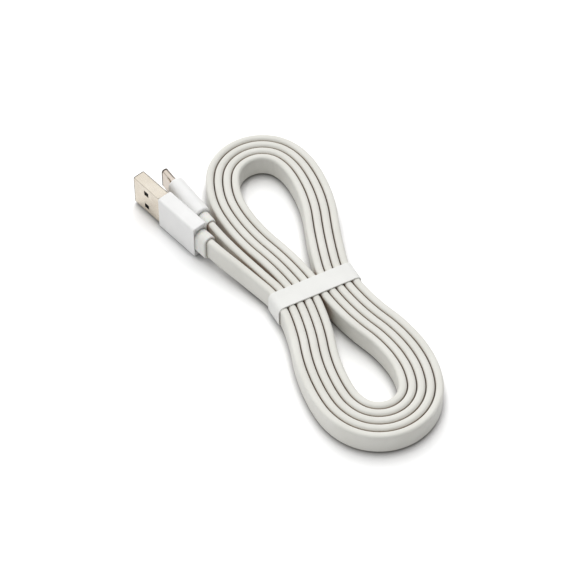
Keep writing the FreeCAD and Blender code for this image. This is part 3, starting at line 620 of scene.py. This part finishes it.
def case_rings(sizes):
    """A case's stations: out of the rear slot, round the outside, and in at the front mouth."""
    thick, wide, length = sizes["case"]
    corner, edge = sizes["case_corner"], sizes["case_edge"]
    slot_thick, slot_wide, mouth_thick, mouth_wide = (
        size + 2 * CASE_SEAM for size in (*sizes["relief"][:2], *sizes["shell"][:2])
    )
    rings = [ring(slot_thick, slot_wide, slot_thick / 2, z) for z in (MOUTH_DEPTH, 0)]
    for inset, along in rounding(edge):
        rings.append(ring(thick - 2 * inset, wide - 2 * inset, corner - inset * 0.8, along))
    for inset, along in reversed(rounding(edge)):
        rings.append(ring(thick - 2 * inset, wide - 2 * inset, corner - inset * 0.8, length - along))
    corner = sizes["shell_corner"] + CASE_SEAM
    for z in (length, length - MOUTH_DEPTH):
        rings.append(ring(mouth_thick, mouth_wide, corner, z))
    return rings


def make_case(name, place, sizes, material, node):
    case = loft(name, case_rings(sizes), place)
    finish(even_normals(case), material)
    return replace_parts(case, node)


def make_relief(name, place, sizes, material, node):
    """A sleeve with a rounded end, hollow round the cable."""
    thick, wide, length = sizes["relief"]
    rings = [ring(thick, wide, thick / 2, z) for z in (RELIEF_INSIDE, -0.6 * length)]
    for inset, along in reversed(rounding(RELIEF_LIP)):
        rings.append(ring(thick - 2 * inset, wide - 2 * inset, thick / 2 - inset, along - length))
    bore = (CABLE_THICKNESS + 2 * BORE_SEAM, CABLE_WIDTH + 2 * BORE_SEAM, CABLE_EDGE + BORE_SEAM)
    rings += [ring(*bore, -length), ring(*bore, BORE_DEPTH - length)]
    relief = loft(name, rings, place)
    finish(even_normals(relief), material)
    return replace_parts(relief, node)


def shell_rings(sizes):
    """A shell's stations: from inside the case to the tip, round the lip and back down the inside."""
    thick, wide, reach = sizes["shell"]
    corner, wall = sizes["shell_corner"], sizes["shell_wall"]
    base = sizes["case"][2]
    tip = base + reach
    stations = (base - sizes["buried"], base + 0.3 * reach, tip - sizes["cut_edge_painted_dark"])
    rings = [ring(thick, wide, corner, z) for z in stations]
    for inset, along in reversed(rounding(sizes["shell_lip"], 3)):
        rings.append(ring(thick - 2 * inset, wide - 2 * inset, corner - inset, tip - along))
    inner = (thick - 2 * wall, wide - 2 * wall, corner - wall)
    rings += [ring(*inner, tip), ring(*inner, tip - sizes["depth"])]
    return rings


def paint_dark_lip(shell, place, sizes, edge):
    """Gives the faces round the shell's open end the cut edge's duller material, with its painted dark reflection.
    """
    shell.data.materials.append(edge)
    back = place.inverted()
    start = sizes["case"][2] + sizes["shell"][2] - sizes["cut_edge_painted_dark"]
    for face in shell.data.polygons:
        if (back @ (face.center / MM)).z > start:
            face.material_index = 1


def make_shell_a(place, material, edge):
    """The wide shell, with two square holes through each broad face."""
    shell = loft("wide_shell", shell_rings(A), place)
    tip = A["case"][2] + A["shell"][2]
    across, along = A["hole"]
    middle = tip - A["hole_setback"] - along / 2
    cutters = []
    for side in (-1, 1):
        at = side * A["hole_spacing"] / 2
        rings = []
        for x in (-A["shell"][0], A["shell"][0]):
            square = ring(along, across, A["hole_corner"], 0, steps=3)
            rings.append([Vector((x, at + p.y, middle + p.x)) for p in square])
        cutters.append(loft(f"hole_{side}", rings, place))
    cut(shell, cutters)
    finish(even_normals(shell), material)
    paint_dark_lip(shell, place, A, edge)
    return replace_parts(shell, "type_a_shell")


def make_shell_c(place, material, edge):
    shell = loft("slim_shell", shell_rings(C), place)
    finish(even_normals(shell), material)
    paint_dark_lip(shell, place, C, edge)
    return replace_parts(shell, "type_c_shell")


# The band.


def make_band(material):
    """A thin closed band with rounded corners and rims."""
    low, high = (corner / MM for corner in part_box("tie_band"))
    wide, depth, tall = high - low
    middle = (low + high) / 2
    rings = []

    def add(inset, along, radius):
        outline = ring(wide - 2 * inset, tall - 2 * inset, radius, 0, steps=8)
        rings.append([Vector((middle.x + p.x, low.y + along, middle.z + p.y)) for p in outline])

    for inset, along in rounding(BAND_RIM, 3):
        add(inset, along, BAND_CORNER - inset)
    for inset, along in reversed(rounding(BAND_RIM, 3)):
        add(inset, depth - along, BAND_CORNER - inset)
    for along in (depth, 0.0):
        add(BAND_WALL, along, BAND_CORNER - BAND_WALL)
    rings.append(rings[0])
    band = loft("band_round_waist", rings, capped=False)
    weld(band)
    finish(even_normals(band), material)
    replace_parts(band, "tie_band")
    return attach(band, "band")


def weld(piece):
    """Joins points that lie on each other."""
    skin = bmesh.new()
    skin.from_mesh(piece.data)
    bmesh.ops.remove_doubles(skin, verts=skin.verts, dist=0.001 * MM)
    bmesh.ops.recalc_face_normals(skin, faces=skin.faces)
    skin.to_mesh(piece.data)
    skin.free()


# Everything in its place.


def finish_inner_pieces():
    """The CAD pieces inside the plugs keep their shape and get their materials."""
    gold = plain("gold_plate", from_screen(214, 178, 104), 0.28, 1.0, 0.002)
    steel = plain("spring_steel", from_screen(190, 190, 188), 0.3, 1.0)
    black = plain("insert_plastic", from_screen(15, 13, 12), 0.6, gloss=0.12)
    cream = plain("inner_mould", from_screen(222, 220, 208), 0.6)
    board = plain("board_resist", from_screen(30, 92, 52), 0.4)
    chip = plain("resistor_body", from_screen(30, 30, 32), 0.5)
    wires = {
        "black": plain("wire_black", from_screen(26, 26, 28), 0.4),
        "green": plain("wire_green", from_screen(38, 128, 66), 0.4),
        "white": plain("wire_white", from_screen(228, 228, 224), 0.4),
        "red": plain("wire_red", from_screen(186, 38, 34), 0.4),
    }
    looks = {
        "contact": (gold, "contact_gold"),
        "latch": (steel, "spring_steel"),
        "solder": (steel, "spring_steel"),
        "tongue": (black, "insulator_black"),
        "insert": (black, "insulator_black"),
        "mould": (cream, "mould"),
        "card": (board, "circuit_board"),
        "resistor": (chip, "resistor_body"),
        "cable_end": (plain("cable_end", from_screen(232, 232, 226), 0.5), "cable_jacket"),
    }
    for colour, material in wires.items():
        looks["wire_" + colour] = (material, "wire_" + colour)
    for name, node in frame["nodes"].items():
        for word, (material, slot) in looks.items():
            if word in name:
                finish(node, material)


def make_stage():
    """A pale floor that shows as white to the camera, takes the object's shadow, and has a painted contact shadow
    close round it.
    """
    bpy.ops.mesh.primitive_plane_add(size=FLOOR_SIZE * MM, location=(0, 0, -FLOOR_BELOW * MM))
    floor = bpy.context.object
    floor.name = "floor"
    material = bpy.data.materials.new("floor")
    material.use_nodes = True
    tree = material.node_tree
    tree.nodes.clear()
    output = tree.nodes.new("ShaderNodeOutputMaterial")
    diffuse = tree.nodes.new("ShaderNodeBsdfDiffuse")
    path = tree.nodes.new("ShaderNodeLightPath")
    shade = tree.nodes.new("ShaderNodeMapRange")
    shade.inputs["To Min"].default_value = FLOOR_SHADE
    shade.inputs["To Max"].default_value = FLOOR_SEEN
    tree.links.new(path.outputs["Is Camera Ray"], shade.inputs["Value"])
    # Painted contact shadow: the floor's colour is darkened where a piece is near it.
    closeness = tree.nodes.new("ShaderNodeAmbientOcclusion")
    closeness.inputs["Distance"].default_value = CONTACT_REACH * MM
    contact = tree.nodes.new("ShaderNodeMapRange")
    contact.inputs["From Min"].default_value = CONTACT_FULL
    contact.inputs["From Max"].default_value = CONTACT_NONE
    contact.inputs["To Min"].default_value = CONTACT_LEFT
    tree.links.new(closeness.outputs["AO"], contact.inputs["Value"])
    colour = tree.nodes.new("ShaderNodeMath")
    colour.operation = "MULTIPLY"
    tree.links.new(shade.outputs[0], colour.inputs[0])
    tree.links.new(contact.outputs[0], colour.inputs[1])
    tree.links.new(colour.outputs[0], diffuse.inputs["Color"])
    tree.links.new(diffuse.outputs[0], output.inputs["Surface"])
    floor.data.materials.append(material)


def make_world():
    """Light from all round for the object, a horizon in its metal, and plain white for the camera."""
    world = bpy.context.scene.world or bpy.data.worlds.new("world")
    bpy.context.scene.world = world
    world.use_nodes = True
    tree = world.node_tree

    def node(kind, **values):
        made = tree.nodes.new("ShaderNode" + kind)
        for name, value in values.items():
            made.inputs[name.replace("_", " ")].default_value = value
        return made

    back = tree.nodes["Background"]
    back.inputs["Color"].default_value = (1, 1, 1, 1)
    path = node("LightPath")
    place = node("TexCoord")
    apart = node("SeparateXYZ")
    horizon = node("MapRange", From_Min=HORIZON_LOW, From_Max=HORIZON_HIGH, To_Max=SKY_MIRRORED)
    band = node("MapRange", From_Min=DARK_FROM, From_Max=DARK_TO)
    band.inputs["To Min"].default_value = HORIZON_PALE
    band.inputs["To Max"].default_value = HORIZON_DARK
    beyond = node("VectorMath")
    beyond.operation = "DOT_PRODUCT"
    beyond.inputs[1].default_value = DARK_SIDE
    tree.links.new(place.outputs["Generated"], beyond.inputs[0])
    tree.links.new(beyond.outputs["Value"], band.inputs["Value"])
    tree.links.new(band.outputs[0], horizon.inputs["To Min"])
    horizon.interpolation_type = "SMOOTHSTEP"
    slant = node("VectorMath")
    slant.operation = "DOT_PRODUCT"
    slant.inputs[1].default_value = BRIGHT_SIDE * WORLD_SLANT
    light = node("Math")
    light.operation = "MULTIPLY_ADD"
    light.inputs[1].default_value = light.inputs[2].default_value = WORLD_LIGHT
    mirrored = node("Mix")
    seen = node("Mix")
    tree.links.new(place.outputs["Generated"], slant.inputs[0])
    tree.links.new(slant.outputs["Value"], light.inputs[0])
    tree.links.new(place.outputs["Generated"], apart.inputs[0])
    tree.links.new(apart.outputs["Z"], horizon.inputs["Value"])
    tree.links.new(light.outputs[0], mirrored.inputs["A"])
    tree.links.new(path.outputs["Is Glossy Ray"], mirrored.inputs["Factor"])
    tree.links.new(horizon.outputs[0], mirrored.inputs["B"])
    seen.inputs["B"].default_value = 1.0
    tree.links.new(path.outputs["Is Camera Ray"], seen.inputs["Factor"])
    tree.links.new(mirrored.outputs["Result"], seen.inputs["A"])
    tree.links.new(seen.outputs["Result"], back.inputs["Strength"])


def make_lamp():
    sun = bpy.data.lights.new("overhead", "SUN")
    sun.energy = SUN_LIGHT
    sun.angle = math.radians(SUN_SPREAD)
    lamp = bpy.data.objects.new("overhead", sun)
    lamp.visible_glossy = False
    lamp.rotation_mode = "QUATERNION"
    lamp.rotation_quaternion = SUN_FROM.to_track_quat("Z", "Y")
    bpy.context.collection.objects.link(lamp)


def make_camera():
    data = bpy.data.cameras.new("camera")
    data.lens = CAMERA_LENS
    data.sensor_width = 36
    data.clip_start, data.clip_end = 0.01, 20
    camera = bpy.data.objects.new("camera", data)
    camera.location = CAMERA_AT * MM
    camera.rotation_mode = "QUATERNION"
    camera.rotation_quaternion = (CAMERA_AT - CAMERA_AIM).to_track_quat("Z", "Y")
    bpy.context.collection.objects.link(camera)
    bpy.context.scene.camera = camera


def main():
    bpy.context.scene.view_settings.view_transform = "Standard"
    place_a, exit_a, axis_a = plug_frame("plug_a_swing", "type_a_plug", A["relief"][2])
    place_c, exit_c, axis_c = plug_frame("plug_c_swing", "type_c_plug", C["relief"][2])

    plastic = case_plastic("plug_case", 1)
    rubber = relief_rubber()
    yaw_a, yaw_c = (math.atan2(-axis.x, axis.y) for axis in (axis_a, axis_c))
    cream, deep_cream = from_screen(241, 233, 219), from_screen(231, 220, 204)
    blush, deep_blush = from_screen(233, 222, 211), from_screen(222, 209, 196)
    steel_a = nickel("shell_nickel", -yaw_a, cream, deep_cream, 0.15)
    steel_c = nickel("slim_shell_nickel", -yaw_c, blush, deep_blush, 0.09)
    edge = cut_edge_painted_dark()
    on_a = [
        make_case("wide_case", place_a, A, plastic, "type_a_case"),
        make_relief("wide_strain_relief", place_a, A, rubber, "type_a_strain_relief"),
        make_shell_a(place_a, steel_a, edge),
    ]
    on_c = [
        make_case("slim_case", place_c, C, plastic, "type_c_case"),
        make_relief("slim_strain_relief", place_c, C, rubber, "type_c_strain_relief"),
        make_shell_c(place_c, steel_c, edge),
    ]
    for body, pieces in (("plug_a", on_a), ("plug_c", on_c)):
        for piece in pieces:
            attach(piece, body)
    finish_inner_pieces()

    # The cable's first and last turns go round the lower lobe, each with its plug's free stretch.
    elastomer = jacket()
    outer, strand = turns(1, LOWER_LOBE, 1)
    inner, last = turns(strand, UPPER_LOBE, STRANDS - 3)
    final, _ = turns(2, LOWER_LOBE, 1)
    meet_1 = Vector((strand_x(strand), MEETING))
    meet_2 = Vector((strand_x(last), MEETING))
    tail_a = tail(exit_a, axis_a, TAIL_A_POINTS)
    tail_c = tail(exit_c, axis_c, TAIL_C_POINTS)
    cord_a = make_cord(
        "cable_from_wide_plug",
        tail_a + laid(outer + [meet_1]),
        elastomer,
        ["cable_tail_a"],
    )
    middle = laid([meet_1] + inner + [meet_2])
    cord_b = make_cord("cable_turns", middle, elastomer, [])
    cord_c = make_cord(
        "cable_from_slim_plug",
        tail_c + laid(final + [meet_2]),
        elastomer,
        ["cable_tail_c"],
    )
    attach(cord_b, "root")
    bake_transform(cord_a)
    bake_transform(cord_c)
    make_band(band_film())

    make_stage()
    make_world()
    make_lamp()
    make_camera()


main()
